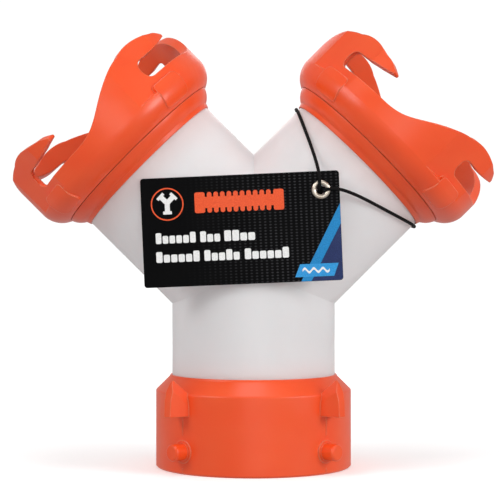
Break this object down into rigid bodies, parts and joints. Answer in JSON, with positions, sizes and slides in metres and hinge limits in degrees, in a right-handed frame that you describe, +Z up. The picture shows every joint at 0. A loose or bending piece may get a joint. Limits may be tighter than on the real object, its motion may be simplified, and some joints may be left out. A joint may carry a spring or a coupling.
{
  "type": "sewer hose wye fitting",
  "caption": "Y-shaped sewer hose fitting: translucent body, lug collar below, swivelling bayonet ring with hooked claws on each arm, and a hang tag tied on with a cord.",
  "frame": {"origin": "centre of the lug collar's open lower end, on the stem's axis", "axes": "+Z up the stem to the two arms, X across both arms with +X to the arm that carries the tag's cord, -Y the front, where the hang tag lies"},
  "size_m": [0.2481, 0.116, 0.2282],
  "materials": {
    "milky_plastic": "milky translucent moulded polypropylene, satin",
    "orange_plastic": "semi-gloss moulded orange plastic",
    "seal_rubber": "matt black moulded rubber",
    "printed_card": "gloss-laminated black card with printed pictogram and bars",
    "eyelet_metal": "plated, rolled edge",
    "elastic_cord": "braided black elastic cord"
  },
  "bodies": {
    "fitting": {"wye_body": "milky_plastic", "outlet_lug_collar": "orange_plastic", "left_retaining_collar": "orange_plastic", "right_retaining_collar": "orange_plastic", "left_seal_seat": "milky_plastic", "right_seal_seat": "milky_plastic", "left_face_gasket": "seal_rubber", "right_face_gasket": "seal_rubber", "tag_cord": "elastic_cord", "cord_knot": "elastic_cord"},
    "left_ring": {"left_bayonet_ring": "orange_plastic"},
    "right_ring": {"right_bayonet_ring": "orange_plastic"},
    "tag": {"hang_tag": "printed_card", "tag_eyelet": "eyelet_metal", "tag_washer": "eyelet_metal"}
  },
  "joints": [
    {"name": "left_swivel", "type": "hinge", "parent": "fitting", "child": "left_ring", "pos_m": [-0.06817, 0, 0.17157], "axis": [-0.7071, 0, 0.7071], "continuous": true},
    {"name": "right_swivel", "type": "hinge", "parent": "fitting", "child": "right_ring", "pos_m": [0.06817, 0, 0.17157], "axis": [0.7071, 0, 0.7071], "continuous": true},
    {"name": "tag_swing", "type": "hinge", "parent": "fitting", "child": "tag", "pos_m": [0.0331, -0.048, 0.1441], "axis": [-0.0523, -0.9986, 0], "range_deg": [0, 14]}
  ]
}
